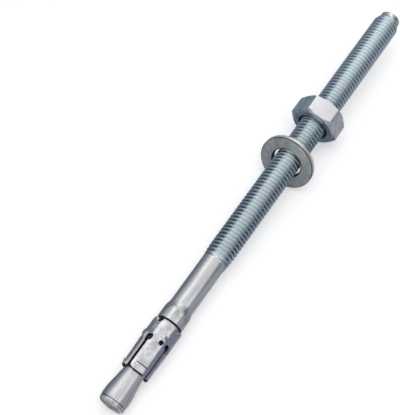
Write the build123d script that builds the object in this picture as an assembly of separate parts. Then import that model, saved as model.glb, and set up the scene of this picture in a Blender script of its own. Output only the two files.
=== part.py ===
from build123d import *
import math
import os

# A zinc-plated M10 wedge anchor (through bolt), lying along X. Lengths are in millimetres.
# The wedge end's flat face is at X = 0, the threaded end points to +X, and +Z is up.
# Angles round the stud are in degrees, counted from +Z towards -Y.

# Stud: one cold-formed bar with a rolled thread
overall_length = 185.0
thread_diameter = 10.0
thread_pitch = 1.5
nose_taper = 2.5
nose_band = 1.7
nose_diameter = 7.9
nose_edge = 0.3
runout_length = 5.0
shank_length = 19.6
shoulder_length = 1.8
collar_length = 5.0
collar_diameter = 10.0
collar_edge = 0.25
neck_diameter = 7.8
cone_half_angle = 7.0
rim_diameter = 9.9
rim_length = 2.3
end_bevel_length = 2.6
end_bevel_depth = 0.2
end_round = 1.1

# Expansion clip: one strip of sheet, punched flat and rolled round the neck
clip_length = 19.5
clip_sheet = 1.1
clip_neck_play = 0.35
clip_cone_play = 0.34
clip_collar_play = 0.7
clip_turn = 21.6
petal_slot_angle = 49.8
slot_width = 2.4
slot_length = 13.2
slot_head_width = 4.0
slot_head_length = 2.4
petal_corner = 1.2
notch_width = 3.0
notch_depth = 1.6
seam_slot_length = 11.0
seam_gap = 1.0
seam_vee_width = 4.2
seam_vee_depth = 2.7
nib_radius = 1.6
nib_height = 0.55
nib_from_end = 13.2
nib_turn = 9.0
nib_mouth = 0.75
bead_width = 1.7
bead_height = 0.22
bead_span = 46.0
bead_from_end = 1.75

# Plain washer, hanging on the thread at the lean its loose bore allows
washer_diameter = 21.0
washer_thickness = 2.0
washer_play = 0.75
washer_edge = 0.3
washer_touch = 0.06
washer_to_nut = 17.5

# Hexagon nut
nut_across_flats = 17.0
nut_height = 8.0
nut_play = 0.05
nut_corner = 1.2
nut_face_share = 0.94
nut_countersink = 0.45
nut_flat_angle = 13.4
nut_from_tip = 50.9

# Places along the stud that follow from those sizes
neck_radius = neck_diameter / 2
rim_radius = rim_diameter / 2
thread_radius = thread_diameter / 2
cone_slope = math.tan(math.radians(cone_half_angle))
thread_height = thread_pitch * math.sqrt(3) / 2
pitch_radius = thread_radius - 3 / 8 * thread_height
rim_x = end_bevel_length + rim_length
neck_x = rim_x + (rim_radius - neck_radius) / cone_slope
side_petal_angle = (petal_slot_angle + 180) / 2
clip_inner = neck_radius + clip_neck_play
clip_outer = clip_inner + clip_sheet
clip_x = rim_x + (rim_radius - clip_inner + clip_cone_play) / cone_slope
clip_top_x = clip_x + clip_length
collar_x = clip_top_x + clip_collar_play
collar_top_x = collar_x + collar_length
shank_x = collar_top_x + shoulder_length
runout_x = shank_x + shank_length
thread_x = runout_x + runout_length
nose_x = overall_length - nose_band - nose_taper
nut_x = overall_length - nut_from_tip - nut_height
washer_x = nut_x - washer_to_nut


def round_x(angle):
    """Turns a feature built on top of the stud, at +Z, to its angle round the stud."""
    return Rot(angle, 0, 0)


def turned(points):
    """A solid of revolution about X, from its half outline's (x, radius) points."""
    outline = Polyline(*[(x, 0, r) for x, r in points], close=True)
    return revolve(make_face(outline), Axis.X, 360)


def tube(x, length, outer, inner=0):
    """A cylinder or a ring round X, starting at x."""
    ring = Circle(outer) - Circle(inner) if inner else Circle(outer)
    return extrude(Plane.YZ.offset(x) * ring, length)


def stud():
    """Wedge end, cone, neck, collar, plain shank, thread at its major diameter, and nose."""
    body = turned([
        (0, 0),
        (0, rim_radius - end_bevel_depth),
        (end_round, rim_radius - end_bevel_depth),
        (end_bevel_length, rim_radius),
        (rim_x, rim_radius),
        (neck_x, neck_radius),
        (collar_x, neck_radius),
        (collar_x, collar_diameter / 2),
        (collar_top_x, collar_diameter / 2),
        (shank_x, pitch_radius),
        (runout_x, pitch_radius),
        (thread_x, thread_radius),
        (nose_x, thread_radius),
        (nose_x + nose_taper, nose_diameter / 2),
        (overall_length, nose_diameter / 2),
        (overall_length, 0),
    ])
    rings = body.edges().filter_by(GeomType.CIRCLE)
    body = fillet(rings.group_by(Axis.X)[0], end_round * 0.95)
    rings = body.edges().filter_by(GeomType.CIRCLE)
    body = chamfer(rings.group_by(Axis.X)[-1], nose_edge)
    rings = body.edges().filter_by(GeomType.CIRCLE)
    collar_face = rings.filter_by(lambda e: abs(e.center().X - collar_x) < 1e-6).sort_by(SortBy.RADIUS)
    return chamfer(collar_face[-1], collar_edge)


def cut_through(outline):
    """The punch for a hole in the clip: an outline on the XY plane, driven up through its top."""
    return extrude(Plane.XY * outline, clip_outer + nib_height + 1)


def petal_slot():
    """The open slot between two petals: rounded mouth, straight run and a wider rounded head."""
    run = slot_length - slot_head_length / 2
    slot = Pos(clip_x + run / 2, 0) * Rectangle(run, slot_width)
    head = Pos(clip_x + slot_length - slot_head_length / 2, 0) * RectangleRounded(
        slot_head_length, slot_head_width, slot_head_length * 0.4)
    return cut_through(slot + head + slot_mouth())


def slot_mouth():
    """Rounds the two petal corners where a slot opens at the clip's end."""
    mouth = Pos(clip_x + petal_corner / 2, 0) * Rectangle(petal_corner, slot_width + 2 * petal_corner)
    for side in (-1, 1):
        middle = side * (slot_width / 2 + petal_corner)
        mouth -= Pos(clip_x + petal_corner, middle) * Circle(petal_corner)
    return mouth


def seam():
    """The strip's butt joint: a wide slot, a narrow gap above it and a vee at the collar's side."""
    run = seam_slot_length - slot_width / 2
    slot = Pos(clip_x + run / 2, 0) * Rectangle(run, slot_width)
    slot += Pos(clip_x + run, 0) * Circle(slot_width / 2)
    slot += slot_mouth()
    gap_length = clip_length - run
    slot += Pos(clip_top_x - gap_length / 2, 0) * Rectangle(gap_length, seam_gap)
    vee = Polyline(
        (clip_top_x - seam_vee_depth, 0),
        (clip_top_x, -seam_vee_width / 2),
        (clip_top_x, seam_vee_width / 2),
        close=True)
    return cut_through(slot + make_face(vee))


def edge_notch():
    """The rounded notch in the clip's collar edge, in line with each petal slot."""
    radius = notch_width / 2
    return cut_through(Pos(clip_top_x + radius - notch_depth, 0) * Circle(radius))


def nib():
    """A pressed nib that bites the hole's wall: (its dome, the hollow behind it, its lanced mouth)."""
    dome_radius = (nib_radius**2 + nib_height**2) / (2 * nib_height)
    centre = Pos(clip_x + nib_from_end, 0, clip_outer + nib_height - dome_radius)
    punch = Pos(clip_x + nib_from_end, 0, clip_inner + clip_sheet / 2) * Cylinder(
        nib_radius, clip_sheet + nib_height, align=(Align.CENTER, Align.CENTER, Align.MIN))
    dome = (centre * Sphere(dome_radius)) & punch
    hollow = centre * Sphere(dome_radius - clip_sheet)
    mouth = cut_through(Pos(clip_x + nib_from_end - nib_radius + nib_mouth / 2, 0) * Circle(nib_mouth))
    return dome, hollow, mouth


def bead():
    """The low rib pressed across a petal near its end."""
    crown = (bead_width**2 / 4 + bead_height**2) / (2 * bead_height)
    middle = clip_x + bead_from_end
    profile = Pos(middle, 0, clip_outer + bead_height - crown) * (Plane.XZ * Circle(crown))
    above = Pos(middle, 0, clip_outer) * (Plane.XZ * Rectangle(bead_width, 2 * bead_height))
    strip = revolve((profile & above).face(), Axis.X, bead_span)
    return round_x(-bead_span / 2) * strip


def expansion_clip():
    """The rolled clip: a sleeve with three petals, two slots between them, and the seam opposite."""
    body = tube(clip_x, clip_length, clip_outer, clip_inner)
    for angle in (-side_petal_angle, 0, side_petal_angle):
        dome, hollow, mouth = nib()
        body += round_x(angle + nib_turn) * dome
        body += round_x(angle) * bead()
        body -= round_x(angle + nib_turn) * hollow
        body -= round_x(angle + nib_turn) * mouth
    for angle in (-petal_slot_angle, petal_slot_angle):
        body -= round_x(angle) * petal_slot()
        body -= round_x(angle) * edge_notch()
    body -= round_x(180) * seam()
    return round_x(clip_turn) * body


def washer_lean():
    """The lean at which the washer's bore, over its thickness, just clears the thread."""
    bore = thread_diameter + 2 * washer_play
    diagonal = math.hypot(bore, washer_thickness)
    free = math.acos((thread_diameter + 2 * washer_touch) / diagonal)
    return math.degrees(free - math.atan2(washer_thickness, bore))


def washer():
    """A plain washer, rounded on its die side by stamping, its top leaning towards the nut."""
    disc = tube(-washer_thickness / 2, washer_thickness, washer_diameter / 2,
                thread_radius + washer_play)
    rims = disc.edges().filter_by(GeomType.CIRCLE).sort_by(SortBy.RADIUS)[-2:]
    disc = fillet(rims.sort_by(Axis.X)[-1], washer_edge)
    return Pos(washer_x, 0, 0) * Rot(0, washer_lean(), 0) * disc


def hex_nut():
    """A hexagon nut, bevelled on both faces, with a countersunk bore at the thread's diameter."""
    corner_radius = nut_across_flats / math.sqrt(3)
    face_radius = nut_across_flats / 2 * nut_face_share
    bevel = (corner_radius - face_radius) * math.tan(math.radians(30))
    prism = extrude(Plane.YZ * RegularPolygon(corner_radius, 6), nut_height)
    prism = fillet(prism.edges().filter_by(Axis.X), nut_corner)
    prism &= turned([
        (0, 0),
        (0, face_radius),
        (bevel, corner_radius),
        (nut_height - bevel, corner_radius),
        (nut_height, face_radius),
        (nut_height, 0),
    ])
    bore = thread_radius + nut_play
    mouth = bore + nut_countersink
    prism -= turned([
        (0, 0),
        (0, mouth),
        (nut_countersink, bore),
        (nut_height - nut_countersink, bore),
        (nut_height, mouth),
        (nut_height, 0),
    ])
    return Pos(nut_x, 0, 0) * round_x(nut_flat_angle) * prism


nodes = {
    "stud": stud,
    "expansion_clip": expansion_clip,
    "washer": washer,
    "hex_nut": hex_nut,
}

os.makedirs("parts", exist_ok=True)
for name, make in nodes.items():
    export_step(make(), f"parts/{name}.step")
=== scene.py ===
import math

import bmesh
import bpy
from bpy.props import FloatProperty, FloatVectorProperty, IntProperty, PointerProperty
from mathutils import Matrix, Vector, noise


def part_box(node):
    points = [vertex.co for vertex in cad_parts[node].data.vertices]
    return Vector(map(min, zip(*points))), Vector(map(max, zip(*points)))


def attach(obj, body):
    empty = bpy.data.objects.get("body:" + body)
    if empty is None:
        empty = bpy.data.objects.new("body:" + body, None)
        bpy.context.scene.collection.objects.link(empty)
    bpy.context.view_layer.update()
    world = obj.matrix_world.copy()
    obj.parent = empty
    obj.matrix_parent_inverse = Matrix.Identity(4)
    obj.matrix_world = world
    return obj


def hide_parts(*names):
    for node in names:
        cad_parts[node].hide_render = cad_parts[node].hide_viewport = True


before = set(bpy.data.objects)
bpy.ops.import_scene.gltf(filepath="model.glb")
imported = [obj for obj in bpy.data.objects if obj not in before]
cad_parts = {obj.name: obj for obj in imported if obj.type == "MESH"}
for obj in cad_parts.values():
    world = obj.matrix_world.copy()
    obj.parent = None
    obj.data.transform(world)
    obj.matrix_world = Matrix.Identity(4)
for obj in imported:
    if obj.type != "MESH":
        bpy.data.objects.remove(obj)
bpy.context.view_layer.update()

bl_info = {
    "name": "Wedge Anchor",
    "version": (1, 0, 0),
    "blender": (4, 5, 0),
    "location": "View3D > Sidebar > Wedge Anchor",
    "description": "Dresses a zinc-plated wedge anchor: stud, expansion clip, washer and nut",
    "category": "Add Mesh",
}

MM = 0.001
STUD_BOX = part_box("stud")
CLIP_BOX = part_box("expansion_clip")
WASHER_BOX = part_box("washer")
NUT_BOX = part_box("hex_nut")
WASHER_MIDDLE = (WASHER_BOX[0].x + WASHER_BOX[1].x) / 2
PICTURE = (400, 415)  # the render's width and height
MERGE = 0.001 * MM  # points nearer than this are joined
ROOT_DEPTH = 0.6134  # of the stud's thread, over its pitch
MINOR_DEPTH = 0.5413  # of the nut's thread, over its pitch
JOIN = 0.4 * MM  # from the turned end's last ring to the thread's first
WHITE = (1, 1, 1)


def length(name, description, millimetres):
    """A size, held in metres, that the sidebar shows as a length."""
    return FloatProperty(name=name, description=description, default=millimetres * MM,
                         unit="LENGTH", precision=5)


def angle(name, description, degrees):
    """An angle that the sidebar shows in degrees."""
    return FloatProperty(name=name, description=description, default=math.radians(degrees),
                         subtype="ANGLE")


def colour(name, description, default):
    """A linear colour."""
    return FloatVectorProperty(name=name, description=description, default=default, size=3,
                               subtype="COLOR", min=0, max=1)


class ThreadSizes(bpy.types.PropertyGroup):
    """The metric thread that the stud and the nut share."""
    diameter: length("Major diameter", "Across the stud's crests", 10)
    pitch: length("Pitch", "From one crest to the next", 1.5)
    root: length("Root station", "Where the thread's root passes over the top", 60.0)
    play: length("Play", "Radial gap between the nut's thread and the stud's", 0.06)
    segments: IntProperty(name="Segments", description="Steps in one turn", default=64)


class StudSizes(bpy.types.PropertyGroup):
    """Stations and radii of the cold-formed stud, from its wedge end."""
    rim_radius: length("Rim radius", "Of the land behind the wedge end", 4.95)
    rim_end: length("Rim end", "Where the land meets the cone", 4.9)
    bevel_end: length("Bevel end", "Where the entry bevel meets the land", 2.6)
    bevel_depth: length("Bevel depth", "How far the entry bevel narrows", 0.2)
    end_round: length("End rounding", "Radius of the wedge end's edge", 1.1)
    neck_radius: length("Neck radius", "Under the clip", 3.9)
    cone_angle: angle("Cone half angle", "Slope of the expander cone", 7.0)
    collar_start: length("Collar start", "The shoulder that drives the clip", 33.6)
    collar_length: length("Collar length", "Between the clip and the shank", 5.0)
    collar_edge: length("Collar edge", "Rounding of the collar's driving edge", 0.25)
    shoulder: length("Shoulder", "Slope from the collar down to the shank", 1.8)
    shank_length: length("Shank length", "Plain stretch before the thread", 19.6)
    runout: length("Run-out", "Over which the thread gains its full depth", 5.0)
    # The side where the thread's valleys get a painted highlight in place of painted shade.
    glint_turn: angle("Rub turn", "Where the thread is rubbed clean, from the top towards -Y", 18.0)
    nose_taper: length("Nose taper", "Over which the crests shrink to the nose", 2.5)
    nose_band: length("Nose band", "Plain land at the threaded end", 1.7)
    nose_edge: length("Nose edge", "Chamfer at the threaded end", 0.3)
    nose_radius: length("Nose radius", "Of that plain land", 3.95)


class ClipSizes(bpy.types.PropertyGroup):
    """The expansion clip's sheet, slots, nibs and pressed details."""
    outer: length("Outer radius", "Of the rolled sleeve", 5.35)
    sheet: length("Sheet", "Thickness", 1.1)
    turn: angle("Turn", "Of the middle petal from the top towards -Y", 21.6)
    slot_angle: angle("Slot angle", "From the middle petal to each slot", 49.8)
    slot_width: length("Slot width", "Between two petals", 2.1)
    slot_length: length("Slot length", "From the petals' ends to the slot's head", 13.2)
    head_width: length("Head width", "Of the slot's wider head", 3.7)
    head_length: length("Head length", "Along the stud", 2.4)
    corner: length("Petal corner", "Rounding of the petals' ends", 1.2)
    notch_width: length("Notch width", "Of the notch in the collar edge", 3.0)
    notch_depth: length("Notch depth", "Of the notch in the collar edge", 1.6)
    seam_slot: length("Seam slot", "Length of the wide slot along the seam", 11.0)
    seam_gap: length("Seam gap", "Between the strip's two ends", 1.0)
    vee_width: length("Vee width", "Of the seam's mouth at the collar", 4.2)
    vee_depth: length("Vee depth", "Of the seam's mouth at the collar", 2.7)
    nib_place: length("Nib place", "From the petals' ends", 13.2)
    nib_turn: angle("Nib turn", "From each petal's middle", 9.0)
    nib_radius: length("Nib radius", "Of the pressed dome", 1.6)
    nib_height: length("Nib height", "Of the pressed dome", 0.55)
    nib_mouth: length("Nib mouth", "Radius of the lanced hole", 0.8)
    bead_place: length("Bead place", "From the petals' ends", 1.35)
    bead_width: length("Bead width", "Of the pressed rib", 2.0)
    bead_half: angle("Bead half span", "From the petal's middle to where the rib fades", 20.0)
    bead_height: length("Bead height", "Of the pressed rib", 0.26)
    crease: length("Crease", "Depth of the crease above the rib", 0.12)
    facet: length("Facet", "How far each petal's flat facet stands out at its edges", 0.14)
    facet_turn: angle("Facet turn", "Of each facet's middle from its petal's middle", -8.0)
    facet_half: angle("Facet half width", "From a facet's middle to its edge", 28.0)
    dent: length("Dent", "Depth of the roll's small dents", 0.06)
    dent_size: length("Dent size", "From one small dent to the next", 2.2)
    petal_lean: length("Petal lean", "How far the side petals' ends lean in", 0.22)
    grain: length("Mesh grain", "Of the remeshed sheet", 0.15)


class WasherSizes(bpy.types.PropertyGroup):
    """The plain washer."""
    radius: length("Radius", "Outer", 10.5)
    bore: length("Bore radius", "Inner", 5.75)
    thickness: length("Thickness", "Of the stamped sheet", 2.0)
    lean: angle("Lean", "Of its top towards the nut", 20.1)
    edge: length("Edge", "Rounding of the die side", 0.32)


class NutSizes(bpy.types.PropertyGroup):
    """The hexagon nut."""
    flats: length("Across flats", "Between two opposite flats", 17.0)
    face_share: FloatProperty(name="Face share", description="Chamfer circle over the flats",
                              default=0.94)
    chamfer: angle("Chamfer", "Slope of the corners' chamfer", 30.0)
    turn: angle("Turn", "Of the nearest flat from the top towards -Y", 13.4)
    mouth: length("Mouth", "Countersink beyond the thread", 0.45)
    corner: length("Corner", "Rounding of the six corners", 1.2)


class FinishColours(bpy.types.PropertyGroup):
    """Colours of the plating on each piece, and of the painted shade and painted highlights laid on
    it.
    """
    thread: colour("Thread", "Bluish plating on the thread", (0.74, 0.87, 0.94))
    thread_green: colour("Thread green", "Greenish patches of that plating", (0.73, 0.86, 0.86))
    thread_violet: colour("Thread violet", "Violet patches of that plating", (0.76, 0.82, 0.92))
    # Painted shade, laid in the thread's valleys.
    thread_valley_shade: colour("Thread film", "Dark film in its valleys", (0.26, 0.29, 0.33))
    # Painted highlight, laid in the thread's valleys on one side.
    thread_valley_glint: colour("Thread rubbed", "Valleys that are rubbed clean", (0.92, 1.0, 1.0))
    shank: colour("Shank", "Bright plating on the drawn shank", (0.76, 0.76, 0.78))
    clip: colour("Clip", "Plating on the pressed clip", (0.72, 0.72, 0.75))
    # The cut edges: bare, and painted near white as a painted highlight.
    cut_edges_and_highlight: colour("Sheared", "The clip's bright cut edges", (0.97, 0.97, 1.0))
    # Painted shade, laid on the clip's -Y side.
    side_shade: colour("Heated", "Violet tinge on the clip's far side", (0.43, 0.44, 0.53))
    washer: colour("Washer", "Dull plating on the washer", (0.82, 0.78, 0.77))
    washer_green: colour("Washer green", "Greenish blotches of that plating", (0.73, 0.75, 0.69))
    washer_smudge: colour("Washer smudge", "Smudges over both", (0.74, 0.74, 0.76))
    # The uppermost flat shows this plain, as a painted highlight; the violet blotches use it too.
    nut: colour("Nut", "Bright plating on the nut's uppermost flat", (0.82, 0.80, 0.83))
    nut_blue: colour("Nut blue", "Bluish plating on its other faces", (0.70, 0.80, 0.86))
    # Painted shade, laid under the clip, in grooves, creases, bores and countersinks, along edges
    # and on the wedge end's face.
    painted_shade: colour("Recess", "Dark film left in gaps", (0.07, 0.07, 0.08))
    floor: colour("Floor", "Of the plain floor", (0.86, 0.86, 0.87))


class StageSizes(bpy.types.PropertyGroup):
    """The camera's place and turn."""
    aim: length("Aim", "Station on the stud's axis that the camera is turned about", 86.7)
    distance: length("Distance", "From that station to the camera", 365.7)
    azimuth: angle("Azimuth", "Of the optical axis; 0 looks along +Y", -51.2)
    elevation: angle("Elevation", "Of the optical axis", 61.18)
    roll: angle("Roll", "About the optical axis", -5.69)
    focal: FloatProperty(name="Focal length", description="In millimetres", default=89.78)
    aim_right: FloatProperty(name="Aim right", description="Of the image centre, in picture widths",
                             default=54.9 / PICTURE[0])
    aim_up: FloatProperty(name="Aim up", description="Of the image centre, in picture widths",
                          default=1.07 / PICTURE[0])


# ---- mesh helpers

def outline_edges(bm, points):
    """An open outline of (x, radius) points on the XZ plane."""
    verts = [bm.verts.new((x, 0, radius)) for x, radius in points]
    return verts + [bm.edges.new(pair) for pair in zip(verts, verts[1:])]


def spin_outline(bm, points, segments):
    """Spins an outline once round X. Ends on the axis close into poles."""
    bmesh.ops.spin(bm, geom=outline_edges(bm, points), cent=(0, 0, 0), axis=(1, 0, 0),
                   dvec=(0, 0, 0), angle=math.tau, steps=segments, use_merge=True)
    bmesh.ops.remove_doubles(bm, verts=bm.verts, dist=MERGE)


def arc(centre, radius, start, end, steps):
    """Points on an arc of the XZ plane; angles in degrees from +X towards +Z."""
    turns = [math.radians(start + (end - start) * i / steps) for i in range(steps + 1)]
    return [(centre[0] + radius * math.cos(t), centre[1] + radius * math.sin(t)) for t in turns]


def smooth_step(value, low, high):
    """0 below low, 1 above high, with an eased slope between."""
    t = min(max((value - low) / (high - low), 0), 1)
    return t * t * (3 - 2 * t)


def cut_at(bm, x, keep=0):
    """Adds a ring of edges at x. keep 1 deletes what lies below x and -1 what lies above."""
    bmesh.ops.bisect_plane(bm, geom=bm.verts[:] + bm.edges[:] + bm.faces[:], dist=MERGE,
                           plane_co=(x, 0, 0), plane_no=(1, 0, 0),
                           clear_inner=keep > 0, clear_outer=keep < 0)


def open_loop(bm, x):
    """The open edges that lie in the plane at x."""
    return [edge for edge in bm.edges
            if edge.is_boundary and all(abs(v.co.x - x) < 10 * MERGE for v in edge.verts)]


def cap(bm, x):
    """Closes the open loop at x with one face."""
    bmesh.ops.edgeloop_fill(bm, edges=open_loop(bm, x))


def only_verts(geometry):
    """The vertices in what a bmesh operator made."""
    return [v for v in geometry if isinstance(v, bmesh.types.BMVert)]


def extrude_face(bm, face, step):
    """Extrudes one face into a closed prism whose faces point outwards."""
    made = bmesh.ops.extrude_face_region(bm, geom=[face])["geom"]
    bmesh.ops.translate(bm, vec=step, verts=only_verts(made))
    bmesh.ops.recalc_face_normals(bm, faces=bm.faces)


def set_radius(vert, radius):
    """Moves a vertex straight in or out to a distance from the X axis."""
    scale = radius / math.hypot(vert.co.y, vert.co.z)
    vert.co.y *= scale
    vert.co.z *= scale


def shade(bm, sharp_degrees):
    """Smooth faces, with edges kept sharp where the surface turns by more than an angle."""
    for face in bm.faces:
        face.smooth = True
    for edge in bm.edges:
        edge.smooth = edge.calc_face_angle(0) < math.radians(sharp_degrees)


def mesh_object(name, bm):
    """A new object at the origin from a bmesh whose faces are turned outwards first."""
    bmesh.ops.recalc_face_normals(bm, faces=bm.faces)
    mesh = bpy.data.meshes.new(name)
    bm.to_mesh(mesh)
    bm.free()
    made = bpy.data.objects.new(name, mesh)
    bpy.context.scene.collection.objects.link(made)
    return made


def finished_piece(name, bm, material, body, node):
    """A piece that rides on its body and stands for its CAD node."""
    made = mesh_object(name, bm)
    made.data.materials.append(material)
    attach(made, body)
    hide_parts(node)


def discard(made):
    """Deletes an object and its mesh."""
    mesh = made.data
    bpy.data.objects.remove(made)
    bpy.data.meshes.remove(mesh)


def applied(made):
    """A bmesh of an object with its modifiers applied. The object itself is deleted."""
    graph = bpy.context.evaluated_depsgraph_get()
    bm = bmesh.new()
    bm.from_mesh(made.evaluated_get(graph).to_mesh())
    discard(made)
    return bm


def boolean(body, tool, operation):
    """One bmesh cut by, or met with, another. Both are used up."""
    kept = mesh_object("kept", body)
    other = mesh_object("other", tool)
    modifier = kept.modifiers.new("cut", "BOOLEAN")
    modifier.operation = operation
    modifier.solver = "EXACT"
    modifier.object = other
    result = applied(kept)
    discard(other)
    return result


def turn_x(bm, radians):
    """Turns a mesh round the stud, from the top towards -Y."""
    bmesh.ops.rotate(bm, verts=bm.verts, cent=(0, 0, 0),
                     matrix=Matrix.Rotation(radians, 3, "X"))


def turn_y(bm, radians, centre=(0, 0, 0)):
    """Turns a mesh about a line along Y, from the top towards +X."""
    bmesh.ops.rotate(bm, verts=bm.verts, cent=centre,
                     matrix=Matrix.Rotation(radians, 3, "Y"))


# ---- thread

def triangle_height(thread):
    """Height of the sharp triangle that a 60-degree thread is cut from."""
    return thread.pitch * math.sqrt(3) / 2


def thread_outline(thread, grow):
    """One pitch from root to root, with rounded root and crest, grown outwards by a clearance."""
    pitch = thread.pitch
    height = triangle_height(thread)
    crest = thread.diameter / 2
    root = crest - ROOT_DEPTH * pitch
    flank = crest - 5 / 8 * height
    points = [
        (0, root),
        (0.10 * pitch, root + 0.03 * height),
        (0.16 * pitch, flank + 0.06 * height),
        (0.375 * pitch, crest - 0.08 * height),
        (0.43 * pitch, crest - 0.015 * height),
        (0.5 * pitch, crest),
    ]
    points += [(pitch - x, radius) for x, radius in reversed(points[:-1])]
    return [(x, radius + grow) for x, radius in points]


def spin_thread(bm, thread, start, end, grow=0):
    """A right-hand helical surface that reaches past both stations, in phase with the stud's."""
    first = thread.root + (math.ceil((start - thread.root) / thread.pitch) - 2) * thread.pitch
    outline = [(first + x, radius) for x, radius in thread_outline(thread, grow)]
    bmesh.ops.spin(bm, geom=outline_edges(bm, outline), cent=(0, 0, 0), axis=(1, 0, 0),
                   dvec=(thread.pitch / thread.segments, 0, 0), angle=math.tau,
                   steps=thread.segments)
    reach = thread.pitch
    while first + reach < end + thread.pitch:
        copy = bmesh.ops.duplicate(bm, geom=bm.verts[:] + bm.edges[:] + bm.faces[:])["geom"]
        bmesh.ops.translate(bm, vec=(reach, 0, 0), verts=only_verts(copy))
        reach *= 2
    bmesh.ops.remove_doubles(bm, verts=bm.verts, dist=MERGE)


# ---- stud

def collar_end(stud):
    """Where the collar ends and its shoulder begins."""
    return stud.collar_start + stud.collar_length


def shank_end(stud):
    """Where the plain shank ends and the thread's run-out begins."""
    return collar_end(stud) + stud.shoulder + stud.shank_length


def nose_start(stud):
    """Where the crests begin to shrink to the nose."""
    return STUD_BOX[1].x - stud.nose_band - stud.nose_taper


def plain_outline(stud, join, shank_radius):
    """The stud's half outline from the wedge end's centre to the join with the thread."""
    soft = 0.3 * MM  # half the length over which two stretches blend
    groove = 0.1 * MM  # depth of the turned ring in the end bevel
    tip = stud.rim_radius - stud.bevel_depth
    ring = stud.end_round + 1.3 * soft
    cone_end = stud.rim_end + (stud.rim_radius - stud.neck_radius) / math.tan(stud.cone_angle)
    collar_radius = STUD_BOX[1].z
    collar_edge = (stud.collar_start + stud.collar_edge, collar_radius - stud.collar_edge)
    shank = collar_end(stud) + stud.shoulder
    return [
        (0, 0),
        (0, tip - stud.end_round),
        *arc((stud.end_round, tip - stud.end_round), stud.end_round, 165, 90, 5),
        (ring - 0.5 * soft, tip),
        (ring, tip - groove),
        (ring + 0.7 * soft, tip + groove / 2),
        (stud.bevel_end - soft / 3, stud.rim_radius - groove / 5),
        (stud.bevel_end, stud.rim_radius),
        (stud.rim_end - soft, stud.rim_radius),
        (stud.rim_end + soft, stud.rim_radius - groove / 3),
        (cone_end - 2 * soft, stud.neck_radius + groove / 2),
        (cone_end + 2 * soft, stud.neck_radius),
        (stud.collar_start - 2 * groove, stud.neck_radius),
        (stud.collar_start, stud.neck_radius + 2 * groove),
        (stud.collar_start, collar_radius - stud.collar_edge),
        *arc(collar_edge, stud.collar_edge, 150, 90, 2),
        (collar_end(stud) - soft, collar_radius),
        (collar_end(stud), collar_radius - groove / 2),
        (shank, shank_radius + groove / 3),
        (shank + 2 * soft, shank_radius),
        (join, shank_radius),
    ]


def shape_thread_ends(bm, stud, shank_radius, runout, end):
    """Fades the thread into the shank and narrows it to the nose."""
    taper = nose_start(stud)
    crest = STUD_BOX[1].z
    for vert in bm.verts:
        x = vert.co.x
        radius = math.hypot(vert.co.y, vert.co.z)
        depth = smooth_step(x, runout, runout + stud.runout)
        shaped = shank_radius + (radius - shank_radius) * depth
        shrink = min(max((x - taper) / stud.nose_taper, 0), 1)
        limit = crest + (stud.nose_radius - crest) * shrink - max(x - (end - stud.nose_edge), 0)
        set_radius(vert, min(shaped, limit))


def stud_mesh(stud, thread):
    """The whole stud as one closed surface."""
    shank_radius = thread.diameter / 2 - 3 / 8 * triangle_height(thread)
    runout = shank_end(stud)
    end = STUD_BOX[1].x
    bm = bmesh.new()
    spin_thread(bm, thread, runout, end)
    cut_at(bm, runout, keep=1)
    for x in (stud.nose_band + stud.nose_taper, stud.nose_band, stud.nose_edge):
        cut_at(bm, end - x)
    cut_at(bm, end, keep=-1)
    shape_thread_ends(bm, stud, shank_radius, runout, end)
    cap(bm, end)
    spin_outline(bm, plain_outline(stud, runout - JOIN, shank_radius), 96)
    bmesh.ops.bridge_loops(bm, edges=open_loop(bm, runout) + open_loop(bm, runout - JOIN))
    shade(bm, 28)
    return bm


# ---- clip

def prism(points, low, high):
    """A closed prism of an outline of (x, y) points, standing from one height to another."""
    bm = bmesh.new()
    face = bm.faces.new([bm.verts.new((x, y, low)) for x, y in points])
    extrude_face(bm, face, (0, 0, high - low))
    return bm


def mouth_side(clip, start):
    """One side of a slot's mouth, flared by the round corners of the petals' ends."""
    corner = clip.corner
    wide = clip.slot_width / 2 + corner
    rounding = [(start + corner - corner * math.cos(t), wide - corner * math.sin(t))
                for t in (0.4, 0.8, 1.2, math.pi / 2)]
    return [(start - 1 * MM, wide), (start, wide), *rounding]


def both_sides(side):
    """A closed outline from its +Y side."""
    return side + [(x, -y) for x, y in reversed(side)]


def slot_outline(clip, start):
    """The keyhole between two petals: flared mouth, straight run and rounded, wider head."""
    half = clip.slot_width / 2
    head = clip.head_width / 2
    head_start = start + clip.slot_length - clip.head_length
    head_end = start + clip.slot_length
    soft = clip.head_length * 0.4
    return both_sides([
        *mouth_side(clip, start),
        (head_start - 0.3 * MM, half),
        (head_start + 0.2 * MM, head - 0.2 * MM),
        (head_start + soft, head),
        (head_end - soft, head),
        (head_end - 0.3 * soft, head - 0.3 * soft),
        (head_end, head - soft),
    ])


def seam_outline(clip, start, end):
    """The strip's butt joint: wide slot, narrow gap and vee."""
    half = clip.slot_width / 2
    gap = clip.seam_gap / 2
    slot_end = start + clip.seam_slot
    return both_sides([
        *mouth_side(clip, start),
        *[(slot_end - half + half * math.sin(t), half * math.cos(t)) for t in (0, 0.4, 0.8, 1.15)],
        (slot_end + 0.1 * MM, gap),
        (end - clip.vee_depth, gap),
        (end, clip.vee_width / 2),
        (end + 1 * MM, clip.vee_width / 2 + 0.5 * MM),
    ])


def round_outline(x, radius):
    """A circle of points round (x, 0)."""
    turns = [math.tau * i / 24 for i in range(24)]
    return [(x + radius * math.cos(t), radius * math.sin(t)) for t in turns]


def petal_angles(clip):
    """The three petals' middles, counted from the middle petal."""
    side = (clip.slot_angle + math.pi) / 2
    return (-side, 0, side)


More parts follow.
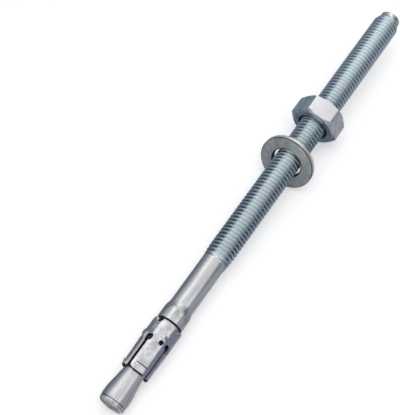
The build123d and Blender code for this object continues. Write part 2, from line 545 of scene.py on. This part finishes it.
def clip_cutters(clip, start, end):
    """Every hole in the clip: (outline, angle round the stud)."""
    yield seam_outline(clip, start, end), math.pi
    notch = round_outline(end + clip.notch_width / 2 - clip.notch_depth, clip.notch_width / 2)
    for side in (-1, 1):
        yield slot_outline(clip, start), side * clip.slot_angle
        yield notch, side * clip.slot_angle
    nib_start = start + clip.nib_place - clip.nib_radius
    mouth = round_outline(nib_start + clip.nib_mouth / 2, clip.nib_mouth)
    for middle in petal_angles(clip):
        yield mouth, middle + clip.nib_turn


def wrapped(turn):
    """The same angle, between -180 and 180 degrees."""
    return (turn + math.pi) % math.tau - math.pi


def nib_push(clip, along, off):
    """The dome pressed round each nib."""
    reach = math.hypot(along - clip.nib_place, off * clip.outer) / clip.nib_radius
    return clip.nib_height * (1 - reach * reach) ** 0.75 if reach < 1 else 0


def facet_push(clip, fold):
    """A petal's flat facet, whose edges stand out; fold is 0 in its middle and 1 at an edge."""
    return clip.facet * min(fold, 1) ** 2 * (1 - smooth_step(fold, 1, 1.45))


def bead_push(clip, along, off):
    """The pressed rib: a gentle rise from the petal's end, then a steep step into a crease."""
    half = clip.bead_width / 2
    step = half + 0.1 * MM
    rise = smooth_step(along, -half, half / 2)
    fall = smooth_step(along, half - 0.15 * MM, step)
    recover = smooth_step(along, step, half + 0.8 * MM)
    across = 1 - smooth_step(abs(off), clip.bead_half, clip.bead_half + math.radians(8))
    return across * (clip.bead_height * (rise - fall) - clip.crease * (fall - recover))


def press_clip(bm, clip, start):
    """Presses nibs, facets, ribs, creases and the roll's small dents into the sleeve."""
    side_start, side_full = 1.0, 1.3  # radians from the middle petal to the side petals
    for vert in bm.verts:
        x = vert.co.x
        around = math.atan2(-vert.co.y, vert.co.z)
        push = 0
        for middle in petal_angles(clip):
            off = wrapped(around - middle)
            wobble = 0.08 * noise.noise(Vector((x / (3 * MM), middle, 0)))
            push += nib_push(clip, x - start, wrapped(around - middle - clip.nib_turn))
            push += facet_push(clip, abs(off - clip.facet_turn + wobble) / clip.facet_half)
            push += bead_push(clip, x - start - clip.bead_place, off)
        push += clip.dent * noise.noise(vert.co / clip.dent_size)
        lean = 1 - smooth_step(x, start, start + clip.slot_length)
        push -= clip.petal_lean * lean * smooth_step(abs(around), side_start, side_full)
        set_radius(vert, math.hypot(vert.co.y, vert.co.z) + push)


def clip_mesh(clip):
    """The rolled, slotted and pressed clip, with the soft edges of plated sheet."""
    start, end = CLIP_BOX[0].x, CLIP_BOX[1].x
    inner = clip.outer - clip.sheet
    bm = bmesh.new()
    ring = [(start, inner), (start, clip.outer), (end, clip.outer), (end, inner), (start, inner)]
    spin_outline(bm, ring, 128)
    for outline, around in clip_cutters(clip, start, end):
        cutter = prism(outline, 1 * MM, clip.outer + 2 * MM)
        turn_x(cutter, around)
        bm = boolean(bm, cutter, "DIFFERENCE")
    made = mesh_object("rolled", bm)
    remesh = made.modifiers.new("grain", "REMESH")
    remesh.mode = "VOXEL"
    remesh.voxel_size = clip.grain
    bm = applied(made)
    for _ in range(4):
        bmesh.ops.smooth_vert(bm, verts=bm.verts, factor=0.5,
                              use_axis_x=True, use_axis_y=True, use_axis_z=True)
    press_clip(bm, clip, start)
    turn_x(bm, clip.turn)
    shade(bm, 60)
    return bm


# ---- washer and nut

def washer_mesh(washer):
    """A stamped washer: rounded on its die side, crisp on the other, leaning on the thread."""
    half = washer.thickness / 2
    edge = washer.edge
    burr = 0.08 * MM
    ring = [
        (half, washer.bore + burr),
        *arc((half - edge, washer.radius - edge), edge, 0, 90, 4),
        (-half + burr, washer.radius),
        (-half, washer.radius - burr),
        (-half, washer.bore + edge),
        *arc((-half + edge, washer.bore + edge), edge, 180, 270, 4)[1:],
        (half - burr, washer.bore),
        (half, washer.bore + burr),
    ]
    bm = bmesh.new()
    spin_outline(bm, ring, 128)
    turn_y(bm, washer.lean)
    bmesh.ops.translate(bm, vec=(WASHER_MIDDLE, 0, 0), verts=bm.verts)
    shade(bm, 35)
    return bm


def hexagon(nut, low, high):
    """The nut's prism before its corners are chamfered, with a flat on top."""
    corner = nut.flats / math.sqrt(3)
    turns = [math.pi / 6 + math.tau * i / 6 for i in range(6)]
    bm = bmesh.new()
    corners = [bm.verts.new((low, corner * math.sin(t), corner * math.cos(t))) for t in turns]
    extrude_face(bm, bm.faces.new(corners), (high - low, 0, 0))
    sides = [e for e in bm.edges if abs(e.verts[0].co.x - e.verts[1].co.x) > MM]
    bmesh.ops.bevel(bm, geom=sides, offset=nut.corner * math.tan(math.pi / 6), segments=5,
                    profile=0.5, affect="EDGES", material=-1)
    return bm


def chamfer_cone(nut, low, high):
    """The turned blank whose cones chamfer the corners."""
    face = nut.flats / 2 * nut.face_share
    wide = nut.flats / math.sqrt(3) + 1 * MM
    rise = (wide - face) * math.tan(nut.chamfer)
    outline = [(low, 0), (low, face), (low + rise, wide)]
    outline += [(high - rise, wide), (high, face), (high, 0)]
    bm = bmesh.new()
    spin_outline(bm, outline, 96)
    return bm


def threaded_core(nut, thread, low, high):
    """The space inside the nut: its thread and two countersinks, as one closed core."""
    bm = bmesh.new()
    past = 0.5 * MM
    spin_thread(bm, thread, low - 2 * past, high + 2 * past, thread.play)
    cut_at(bm, low - past, keep=1)
    cut_at(bm, high + past, keep=-1)
    mouth = thread.diameter / 2 + nut.mouth
    minor = thread.diameter / 2 - MINOR_DEPTH * thread.pitch
    for vert in bm.verts:
        radius = math.hypot(vert.co.y, vert.co.z)
        depth = min(vert.co.x - low, high - vert.co.x)
        set_radius(vert, max(radius, minor, mouth - max(depth, 0)))
    cap(bm, low - past)
    cap(bm, high + past)
    return bm


def nut_mesh(nut, thread):
    """The chamfered hexagon with its threaded bore."""
    low, high = NUT_BOX[0].x, NUT_BOX[1].x
    bm = boolean(hexagon(nut, low, high), chamfer_cone(nut, low, high), "INTERSECT")
    bmesh.ops.dissolve_limit(bm, angle_limit=math.radians(1), verts=bm.verts, edges=bm.edges)
    turn_x(bm, nut.turn)
    bm = boolean(bm, threaded_core(nut, thread, low, high), "DIFFERENCE")
    shade(bm, 25)
    return bm


# ---- materials

class Wire:
    """An output socket in a material's node tree. Arithmetic on it adds Math nodes."""

    def __init__(self, tree, socket=None):
        self.tree = tree
        self.socket = socket

    def node(self, kind, settings=None, inputs=None, output=0):
        """Any node: its settings are set first, then the values or links of its sockets."""
        made = self.tree.nodes.new(kind)
        for name, value in (settings or {}).items():
            setattr(made, name, value)
        for key, value in (inputs or {}).items():
            if isinstance(value, Wire):
                self.tree.links.new(value.socket, made.inputs[key])
            else:
                made.inputs[key].default_value = value
        return Wire(self.tree, made.outputs[output] if made.outputs else None)

    def output(self, place):
        """Another output of the node that this socket belongs to."""
        return Wire(self.tree, self.socket.node.outputs[place])

    def math(self, operation, *values):
        """A Math node of these values."""
        return self.node("ShaderNodeMath", {"operation": operation}, dict(enumerate(values)))

    def __add__(self, other):
        return self.math("ADD", self, other)

    def __sub__(self, other):
        return self.math("SUBTRACT", self, other)

    def __rsub__(self, other):
        return self.math("SUBTRACT", other, self)

    def __mul__(self, other):
        return self.math("MULTIPLY", self, other)

    def __truediv__(self, other):
        return self.math("DIVIDE", self, other)

    def __pow__(self, other):
        return self.math("POWER", self, other)

    __radd__ = __add__
    __rmul__ = __mul__

    def ramp(self, low, high):
        """0 where the value is under low and 1 where it is over high, eased between."""
        return self.node("ShaderNodeMapRange", {"interpolation_type": "SMOOTHSTEP"},
                         {"Value": self, "From Min": low, "From Max": high})

    def times(self, other):
        """One colour multiplied by another."""
        return self.node("ShaderNodeMix", {"data_type": "RGBA", "blend_type": "MULTIPLY"},
                         {0: 1.0, 6: self, 7: other}, output=2)

    def mix(self, first, second):
        """A colour that goes from first to second as this value goes from 0 to 1."""
        return self.node("ShaderNodeMix", {"data_type": "RGBA"},
                         {0: self, 6: first, 7: second}, output=2)


def tint(rgb, factor=1.0):
    """A colour with alpha, lightened or darkened."""
    return (*[min(c * factor, 1) for c in rgb], 1)


def new_tree(owner):
    """Empties a material's or a world's node tree and gives a wire to build it with."""
    owner.use_nodes = True
    owner.node_tree.nodes.clear()
    return Wire(owner.node_tree)


class Plating:
    """A zinc-plated steel material under construction: what varies is set, then it is finished."""

    def __init__(self, name):
        self.material = bpy.data.materials.new(name)
        self.wire = new_tree(self.material)
        self.place = self.wire.node("ShaderNodeTexCoord", output="Object")
        self.x = self.wire.node("ShaderNodeSeparateXYZ", {}, {0: self.place})
        self.y, self.z = self.x.output(1), self.x.output(2)
        self.radius = (self.y * self.y + self.z * self.z) ** 0.5

    def towards(self, turn):
        """1 on the side that faces a turn from the top towards -Y, 0 a quarter turn from it."""
        return (self.z * math.cos(turn) - self.y * math.sin(turn)) / self.radius

    def band(self, x, inner, outer):
        """1 within one distance of a station along the stud, fading to 0 at a wider one."""
        return self.x.ramp(x - outer, x - inner) * self.x.ramp(x + outer, x + inner)

    def noise(self, size, detail, stretch=(1, 1, 1)):
        """Noise with features of a real size, in millimetres."""
        place = self.wire.node("ShaderNodeMapping", {}, {"Vector": self.place, "Scale": stretch})
        return self.wire.node("ShaderNodeTexNoise", {}, {
            "Vector": place, "Scale": 1 / (size * MM), "Detail": detail, "Roughness": 0.6})

    def finish(self, tone, roughness, bump, depth, metallic=1.0):
        """Connects the surface: metal under a thin passivated coat, with bumps of a depth."""
        normal = self.wire.node("ShaderNodeBump", {}, {
            "Height": bump, "Strength": 1.0, "Distance": depth})
        surface = self.wire.node("ShaderNodeBsdfPrincipled", {}, {
            "Base Color": tone, "Metallic": metallic, "Roughness": roughness, "Normal": normal})
        self.wire.node("ShaderNodeOutputMaterial", {}, {"Surface": surface})
        return self.material


def thread_tone(plating, colours, thread, stud):
    """Bluish plating in patches, with painted shade in the valleys, and on one side a painted
    highlight in the valleys instead; a little darker towards the run-out.
    """
    crest = thread.diameter / 2
    valley = 1 - plating.radius.ramp(crest - ROOT_DEPTH * thread.pitch, crest)
    # The side where the valleys get a painted highlight.
    glint_side = plating.towards(stud.glint_turn).ramp(0.74, 0.90)
    patches = plating.noise(7, 1.0).ramp(0.35, 0.65)
    hue = patches.mix(tint(colours.thread_green), tint(colours.thread_violet))
    hue = plating.noise(4, 2.0).ramp(0.4, 0.6).mix(tint(colours.thread), hue)
    # Painted highlight in the valleys on that side.
    glint = (valley * glint_side * 0.8).mix(hue, tint(colours.thread_valley_glint))
    # Painted shade in the valleys, mostly left off on the side that gets the painted highlight.
    painted_shading = (valley * (1 - glint_side * 0.85)).mix(tint(WHITE), tint(colours.thread_valley_shade))
    runout, nose = shank_end(stud), nose_start(stud)
    fade = plating.x.ramp(runout, nose).mix(tint(WHITE, 0.9), tint(WHITE))
    return painted_shading.times(glint).times(fade)


def under_clip(plating, stud):
    """Masks of the stud under the clip: where painted shade goes (its upper side, and all round
    past the slot heads), and all of it.
    """
    start = CLIP_BOX[0].x
    neck = plating.radius.ramp(stud.rim_radius - 0.1 * MM, stud.rim_radius - 0.35 * MM)
    neck = neck * plating.x.ramp(start - 0.3 * MM, start)
    neck = neck * plating.x.ramp(stud.collar_start + 0.2 * MM, stud.collar_start)
    upper = plating.towards(0).ramp(0.4, 0.5)
    slot_heads = start + 12 * MM
    heads = plating.x.ramp(slot_heads - 0.4 * MM, slot_heads)
    return neck * upper.math("MAXIMUM", upper, heads), neck


def drawn_tone(plating, colours, stud, streaks, spots):
    """Neutral plating, streaked by the die and spotted; the neck under the clip is painted lighter,
    a painted highlight, with painted shade on its upper side and past the slot heads.
    """
    tone = streaks.ramp(0.3, 0.7).mix(tint(colours.shank, 0.86), tint(colours.shank, 1.1))
    tone = spots.mix(tone, tint(colours.shank, 0.6))
    neck_shade, neck = under_clip(plating, stud)
    # Painted highlight: the neck under the clip, lighter than the shank.
    tone = neck.mix(tone, tint(colours.shank, 1.2))
    # Painted shade under the clip, on the neck's upper side and past the slot heads.
    return neck_shade.mix(tone, tint(colours.painted_shade))


def stud_plating(colours, thread, stud):
    """Bluish on the thread, neutral on the drawn end, mottled on the collar, with painted shade in
    the end bevel's groove and on the wedge end's face.
    """
    plating = Plating("stud_zinc")
    cloud = plating.noise(5, 3.0)
    grain = plating.noise(0.35, 2.0)
    streaks = plating.noise(0.9, 3.0, (0.05, 1, 1))
    dents = plating.noise(1.4, 3.0)
    mottled = plating.x.ramp(collar_end(stud) + stud.shoulder, collar_end(stud))
    mottled = mottled * plating.x.ramp(stud.collar_start, collar_end(stud))
    tone = drawn_tone(plating, colours, stud, streaks, dents.ramp(0.35, 0.65) * mottled)
    end = plating.x.ramp(stud.end_round, stud.end_round - 0.4 * MM)
    # Painted shade on the wedge end's face, in blotches.
    end_shade_blotches = plating.noise(2.6, 2.0).ramp(0.35, 0.65)
    tone = (end * end_shade_blotches * 0.75).mix(tone, tint(colours.painted_shade, 2.0))
    # Painted shade in the turned groove of the end bevel.
    groove = plating.band(stud.end_round + 0.4 * MM, 0.1 * MM, 0.25 * MM)
    tone = (groove * dents.ramp(0.3, 0.5)).mix(tone, tint(colours.painted_shade, 3.0))
    runout, nose = shank_end(stud), nose_start(stud)
    threaded = plating.x.ramp(runout + 0.2 * MM, runout + 1.4 * MM)
    threaded = threaded - plating.x.ramp(nose, nose + stud.nose_taper)
    tone = threaded.mix(tone, thread_tone(plating, colours, thread, stud))
    tone = tone.times(grain.mix(tint(WHITE, 0.8), tint(WHITE)))
    roughness = 0.2 + 0.12 * cloud + 0.08 * threaded
    bump = grain * 0.4 + streaks * (1 - threaded) * 0.7 + dents * mottled * 3.0
    return plating.finish(tone, roughness, bump, 0.014 * MM, 1 - 0.7 * end)


def clip_plating(colours, clip):
    """Plated sheet, scuffed by rolling. The cut edges are painted near white, a painted highlight;
    painted shade lies on the petals' end walls, in the creases and on the -Y side.
    """
    plating = Plating("clip_zinc")
    cloud = plating.noise(2.2, 4.0)
    grain = plating.noise(0.3, 2.0)
    start = CLIP_BOX[0].x
    # The cut edges, painted near white as a painted highlight, rougher and not metallic.
    cut_edges_and_highlight = plating.radius.ramp(clip.outer - 0.16 * MM, clip.outer - 0.3 * MM)
    # Painted shade on the cut walls at the petals' ends.
    burr = cut_edges_and_highlight * plating.x.ramp(start + 0.35 * MM, start + 0.2 * MM)
    tone = cloud.ramp(0.35, 0.65).mix(tint(colours.clip, 0.78), tint(colours.clip, 1.12))
    tone = cut_edges_and_highlight.mix(tone, tint(colours.cut_edges_and_highlight))
    # Painted shade on the -Y side, darker still on the cut edges.
    shaded_side = (cloud * 1.2 * MM - plating.y).ramp(3.9 * MM, 4.3 * MM)
    tone = shaded_side.mix(tone, cut_edges_and_highlight.mix(tint(colours.side_shade), tint(colours.side_shade, 0.7)))
    crease = start + clip.bead_place + clip.bead_width / 2 + 0.15 * MM
    # Painted shade in the crease behind each petal's rib.
    line = plating.band(crease, 0.14 * MM, 0.32 * MM)
    line_end, line_fade = math.cos(0.44), math.cos(0.36)
    for middle in petal_angles(clip):
        facing = plating.towards(clip.turn + middle).ramp(line_end, line_fade)
        # Painted shade along the crease, across the petal.
        tone = (line * facing).mix(tone, tint(colours.painted_shade, 2.0))
    # Painted shade on the petals' end walls.
    tone = burr.mix(tone, tint(colours.painted_shade))
    roughness = 0.2 + 0.14 * cloud + 0.3 * cut_edges_and_highlight
    metallic = 1 - cut_edges_and_highlight * (1 - burr)
    return plating.finish(tone, roughness, grain + cloud * 2.0, 0.016 * MM, metallic)


def washer_plating(colours, washer):
    """Dull plating in greenish and violet blotches; off the near face it is plain and painted
    lighter, a painted highlight, with painted shade along the near edge and in the bore.
    """
    plating = Plating("washer_zinc")
    flat = plating.wire.node("ShaderNodeMapping", {"vector_type": "TEXTURE"}, {
        "Vector": plating.place, "Location": (WASHER_MIDDLE, 0, 0),
        "Rotation": (0, washer.lean, 0)})
    depth = plating.wire.node("ShaderNodeSeparateXYZ", {}, {0: flat})
    across, along = depth.output(1), depth.output(2)
    radius = (across * across + along * along) ** 0.5
    near = -washer.thickness / 2
    cloud = plating.noise(2.2, 4.0)
    grain = plating.noise(0.22, 2.0)
    blotch = plating.noise(5, 1.0).ramp(0.35, 0.65)
    tone = blotch.mix(tint(colours.washer), tint(colours.washer_green))
    tone = tone.times(cloud.ramp(0.3, 0.7).mix(tint(colours.washer_smudge), tint(WHITE)))
    # Painted highlight: plain and lighter off the near face, on the rim and the bore's wall.
    tone = depth.ramp(near + 0.5 * MM, near + 0.7 * MM).mix(tone, tint(colours.washer, 1.1))
    # Painted shade along the near face's outer edge.
    rim = radius.ramp(washer.radius - 0.32 * MM, washer.radius - 0.14 * MM)
    rim = rim * depth.ramp(near + 0.5 * MM, near + 0.3 * MM)
    tone = rim.mix(tone, tint(colours.painted_shade, 2.0))
    # Painted shade in the bore and round its edge.
    bore = radius.ramp(washer.bore + 0.55 * MM, washer.bore + 0.35 * MM)
    tone = bore.mix(tone, tint(colours.painted_shade))
    roughness = 0.4 + 0.14 * cloud
    return plating.finish(tone, roughness, grain + cloud * 4, 0.02 * MM)


def nut_plating(colours, thread, nut):
    """Plain and bright on the uppermost flat, a painted highlight, blotched blue and violet
    elsewhere, with painted shade in the countersinks.
    """
    plating = Plating("nut_zinc")
    cloud = plating.noise(1.8, 4.0)
    swell = plating.noise(5, 1.0)
    grain = plating.noise(0.3, 2.0)
    face = NUT_BOX[0].x
    # Painted highlight: the uppermost flat, plain and bright.
    painted_highlight = plating.towards(nut.turn).ramp(0.84, 0.9)
    painted_highlight = painted_highlight * plating.radius.ramp(nut.flats / 2 - 0.4 * MM, nut.flats / 2 - 0.1 * MM)
    painted_highlight = painted_highlight * plating.x.ramp(face + 0.25 * MM, face + 0.4 * MM)
    blotch = cloud.ramp(0.3, 0.7)
    blue = blotch.mix(tint(colours.nut_blue, 0.72), tint(colours.nut_blue, 1.15))
    violet = blotch.mix(tint(colours.nut, 0.72), tint(colours.nut, 1.05))
    tone = plating.y.ramp(-3 * MM, -6 * MM).mix(blue, violet)
    tone = painted_highlight.mix(tone, tint(colours.nut))
    tone = tone.times(grain.mix(tint(WHITE, 0.88), tint(WHITE)))
    mouth = thread.diameter / 2 + nut.mouth
    # Painted shade in the countersinks and round the bore's mouths.
    countersink_shade = plating.radius.ramp(mouth + 1.1 * MM, mouth + 0.2 * MM)
    tone = countersink_shade.mix(tone, tint(colours.painted_shade))
    roughness = 0.24 + 0.16 * cloud
    bump = grain + cloud * 3 + swell * 16 * (1 - painted_highlight)
    return plating.finish(tone, roughness, bump, 0.012 * MM)


# ---- stage

def background_rays(wire):
    """1 for rays that see the white background: from the camera, in gloss and through glass."""
    path = wire.node("ShaderNodeLightPath")
    rays = [path.output(name) for name in ("Is Camera Ray", "Is Glossy Ray", "Is Transmission Ray")]
    return wire.math("MAXIMUM", wire.math("MAXIMUM", rays[0], rays[1]), rays[2])


def white_world(strength):
    """A soft grey sky that light comes from, seen as white."""
    world = bpy.data.worlds.new("studio")
    wire = new_tree(world)
    level = background_rays(wire) * (1 - strength) + strength
    sky = wire.node("ShaderNodeBackground", {}, {"Color": tint(WHITE), "Strength": level})
    wire.node("ShaderNodeOutputWorld", {}, {"Surface": sky})
    bpy.context.scene.world = world


def floor_material(colours):
    """A pale floor that shows as white and keeps the anchor's shadow."""
    material = bpy.data.materials.new("floor")
    wire = new_tree(material)
    place = wire.node("ShaderNodeTexCoord", output="Object")
    away = wire.node("ShaderNodeVectorMath", {"operation": "LENGTH"}, {0: place}, output=1)
    glow = away.ramp(0.3, 1.5).mix(tint(WHITE, 0.35), tint(WHITE, 0.57))
    surface = wire.node("ShaderNodeBsdfPrincipled", {}, {
        "Base Color": tint(colours.floor),
        "Roughness": 0.9,
        "Emission Color": background_rays(wire).mix(tint(WHITE, 0), glow),
        "Emission Strength": 1.0,
    })
    wire.node("ShaderNodeOutputMaterial", {}, {"Surface": surface})
    return material


def floor_slope():
    """The slope and a point of the plane that the washer's rim and the wedge end rest on."""
    gap = 0.05 * MM  # keeps the floor clear of the washer's rim
    low = Vector((WASHER_MIDDLE, 0, WASHER_BOX[0].z - gap))
    return math.atan2(-low.z - bpy.context.scene.anchor_stud.rim_radius, low.x), low


def add_floor(colours):
    """The floor, tilted so that the anchor lies on it as modelled."""
    slope, low = floor_slope()
    bm = bmesh.new()
    bmesh.ops.create_grid(bm, x_segments=1, y_segments=1, size=3)
    turn_y(bm, slope)
    bmesh.ops.translate(bm, vec=low, verts=bm.verts)
    floor = mesh_object("floor", bm)
    floor.data.materials.append(floor_material(colours))


def add_card(name, tone, points, reach):
    """A card that only reflections show: an outline of (y, z) points run along X."""
    material = bpy.data.materials.new(name)
    wire = new_tree(material)
    glow = wire.node("ShaderNodeEmission", {}, {"Color": tint(tone), "Strength": 1.0})
    wire.node("ShaderNodeOutputMaterial", {}, {"Surface": glow})
    bm = bmesh.new()
    verts = [bm.verts.new((reach[0], y, z)) for y, z in points]
    edges = [bm.edges.new(pair) for pair in zip(verts, verts[1:])]
    made = bmesh.ops.extrude_edge_only(bm, edges=edges)["geom"]
    bmesh.ops.translate(bm, vec=(reach[1] - reach[0], 0, 0), verts=only_verts(made))
    slope, low = floor_slope()
    turn_y(bm, slope, low)
    card = mesh_object(name, bm)
    card.data.materials.append(material)
    for ray in ("camera", "diffuse", "shadow", "transmission"):
        setattr(card, f"visible_{ray}", False)


def cards(ground):
    """Every card: (name, tone, outline of (y, z) points, reach along X)."""
    near, far = (-0.4, 0.088), (0.088, 0.9)
    floor = ground + 0.1 * MM
    right, left = -0.1, 0.1
    yield ("right_near_card", (0.37, 0.38, 0.43),
           [(-0.008, ground), (right, ground), (right, 0.056)], near)
    yield "right_far_card", (0.14, 0.165, 0.195), [(right, 0.012), (right, 0.074)], far
    yield ("right_far_floor_card", (0.40, 0.42, 0.46),
           [(-0.001, ground), (right, ground), (right, 0.012)], far)
    yield ("thread_start_card", (0.32, 0.35, 0.39),
           [(-0.001, floor), (-0.03, floor)], (0.062, 0.098))
    # Painted shade: a dark card under the nut, which reflections show in place of the floor's shade
    # there.
    yield ("under_nut_shade_card", (0.12, 0.15, 0.19),
           [(0.012, floor), (-0.014, floor)], (0.098, 0.132))
    yield "top_near_card", (0.84, 0.84, 0.84), [(0.02, 0.3), (-0.2, 0.28)], (-0.4, 0.165)
    yield "top_far_card", (0.66, 0.68, 0.70), [(-0.092, 0.3), (-0.2, 0.28)], (0.185, 0.9)
    yield "right_upper_far_card", (0.45, 0.47, 0.50), [(-0.2, 0.28), (-0.3, 0.19)], (0.205, 0.9)
    yield ("left_card", (0.17, 0.195, 0.235),
           [(-0.003, ground), (left, ground), (left, 0.005)], near)
    yield ("left_far_card", (0.22, 0.25, 0.30),
           [(-0.001, ground), (left, ground), (left, 0.005)], far)
    for name, tone, low, high, reach in (
            ("left_middle_card", (0.30, 0.32, 0.36), 0.005, 0.035, near),
            ("left_upper_card", (0.50, 0.52, 0.55), 0.035, 0.07, near),
            ("left_top_card", (0.72, 0.73, 0.75), 0.07, 0.105, near),
            ("left_low_far_card", (0.26, 0.30, 0.36), 0.005, 0.035, far),
            ("left_middle_far_card", (0.34, 0.38, 0.44), 0.035, 0.07, far),
            ("left_upper_far_card", (0.5, 0.53, 0.58), 0.07, 0.12, (0.105, 0.9)),
            ("left_top_far_card", (0.75, 0.77, 0.8), 0.12, 0.25, (0.15, 0.9))):
        yield name, tone, [(left, low), (left, high)], reach


def add_lamp(name, place, target, size, radiance, glossy=True):
    """A soft box of (along, across) size with the same brightness at any size."""
    lamp = bpy.data.lights.new(name, "AREA")
    lamp.shape = "RECTANGLE"
    lamp.size, lamp.size_y = size
    lamp.energy = radiance * math.pi * size[0] * size[1]
    made = bpy.data.objects.new(name, lamp)
    made.location = place
    back = (Vector(place) - Vector(target)).normalized()
    across = back.cross(Vector((1, 0, 0))).normalized()
    made.rotation_mode = "QUATERNION"
    axes = Matrix((across.cross(back), across, back))
    made.rotation_quaternion = axes.transposed().to_quaternion()
    made.visible_glossy = glossy
    bpy.context.scene.collection.objects.link(made)


def add_camera(stage):
    """The camera, turned so that the aim station lies off the image's centre."""
    data = bpy.data.cameras.new("camera")
    data.lens = stage.focal
    data.clip_start = 0.01
    made = bpy.data.objects.new("camera", data)
    bpy.context.scene.collection.objects.link(made)
    a, e = stage.azimuth, stage.elevation
    back = Vector((math.sin(a) * math.cos(e), -math.cos(a) * math.cos(e), math.sin(e)))
    made.rotation_mode = "QUATERNION"
    turn = (-back).to_track_quat("-Z", "Y") @ Matrix.Rotation(stage.roll, 3, "Z").to_quaternion()
    made.rotation_quaternion = turn
    focal_widths = stage.focal / data.sensor_width * PICTURE[1] / PICTURE[0]
    ray = Vector((stage.aim_right, stage.aim_up, -focal_widths)).normalized()
    made.location = Vector((stage.aim, 0, 0)) - (turn @ ray) * stage.distance
    bpy.context.scene.camera = made


# ---- operators

class ANCHOR_OT_stud(bpy.types.Operator):
    """Make the threaded stud"""
    bl_idname = "anchor.stud"
    bl_label = "Stud"

    def execute(self, context):
        scene = context.scene
        material = stud_plating(scene.anchor_colours, scene.anchor_thread, scene.anchor_stud)
        bm = stud_mesh(scene.anchor_stud, scene.anchor_thread)
        finished_piece("threaded_stud", bm, material, "stud", "stud")
        return {"FINISHED"}


class ANCHOR_OT_clip(bpy.types.Operator):
    """Make the expansion clip"""
    bl_idname = "anchor.clip"
    bl_label = "Expansion clip"

    def execute(self, context):
        scene = context.scene
        material = clip_plating(scene.anchor_colours, scene.anchor_clip)
        bm = clip_mesh(scene.anchor_clip)
        finished_piece("pressed_clip", bm, material, "clip", "expansion_clip")
        return {"FINISHED"}


class ANCHOR_OT_washer(bpy.types.Operator):
    """Make the washer"""
    bl_idname = "anchor.washer"
    bl_label = "Washer"

    def execute(self, context):
        scene = context.scene
        material = washer_plating(scene.anchor_colours, scene.anchor_washer)
        bm = washer_mesh(scene.anchor_washer)
        finished_piece("plain_washer", bm, material, "washer", "washer")
        return {"FINISHED"}


class ANCHOR_OT_nut(bpy.types.Operator):
    """Make the hexagon nut"""
    bl_idname = "anchor.nut"
    bl_label = "Nut"

    def execute(self, context):
        scene = context.scene
        material = nut_plating(scene.anchor_colours, scene.anchor_thread, scene.anchor_nut)
        bm = nut_mesh(scene.anchor_nut, scene.anchor_thread)
        finished_piece("hexagon_nut", bm, material, "nut", "hex_nut")
        return {"FINISHED"}


class ANCHOR_OT_stage(bpy.types.Operator):
    """Make the floor, lamps, background and camera"""
    bl_idname = "anchor.stage"
    bl_label = "Stage"

    def execute(self, context):
        scene = context.scene
        scene.view_settings.view_transform = "Standard"
        white_world(0.5)
        add_floor(scene.anchor_colours)
        ground = floor_slope()[1].z + 0.4 * MM
        for card in cards(ground):
            add_card(*card)
        middle = (0.09, 0, 0)
        add_lamp("overhead", (0.09, -0.1, 0.6), middle, (0.5, 0.5), 1.8, glossy=False)
        add_lamp("strip", (0.35, 0.18, 0.4), middle, (0.9, 0.12), 0.45)
        add_lamp("crest_strip", (0.55, 0.045, 0.42), (0.13, 0, 0), (0.5, 0.1), 0.8)
        add_camera(scene.anchor_stage)
        return {"FINISHED"}


class ANCHOR_PT_panel(bpy.types.Panel):
    """Lists the anchor's pieces in the sidebar"""
    bl_idname = "ANCHOR_PT_panel"
    bl_label = "Wedge Anchor"
    bl_space_type = "VIEW_3D"
    bl_region_type = "UI"
    bl_category = "Wedge Anchor"

    def draw(self, context):
        for operator in OPERATORS:
            self.layout.operator(operator.bl_idname)


GROUPS = {
    "anchor_thread": ThreadSizes,
    "anchor_stud": StudSizes,
    "anchor_clip": ClipSizes,
    "anchor_washer": WasherSizes,
    "anchor_nut": NutSizes,
    "anchor_colours": FinishColours,
    "anchor_stage": StageSizes,
}
OPERATORS = (ANCHOR_OT_stud, ANCHOR_OT_clip, ANCHOR_OT_washer, ANCHOR_OT_nut, ANCHOR_OT_stage)


def register():
    """Adds the settings, the operators and the panel."""
    for made in (*GROUPS.values(), *OPERATORS, ANCHOR_PT_panel):
        bpy.utils.register_class(made)
    for name, group in GROUPS.items():
        setattr(bpy.types.Scene, name, PointerProperty(type=group))


def unregister():
    """Takes them away again."""
    for name in GROUPS:
        delattr(bpy.types.Scene, name)
    for made in (ANCHOR_PT_panel, *reversed(OPERATORS), *reversed(GROUPS.values())):
        bpy.utils.unregister_class(made)


def main():
    """Makes every piece and the stage."""
    register()
    bpy.ops.anchor.stud()
    bpy.ops.anchor.clip()
    bpy.ops.anchor.washer()
    bpy.ops.anchor.nut()
    bpy.ops.anchor.stage()


if __name__ == "__main__":
    main()
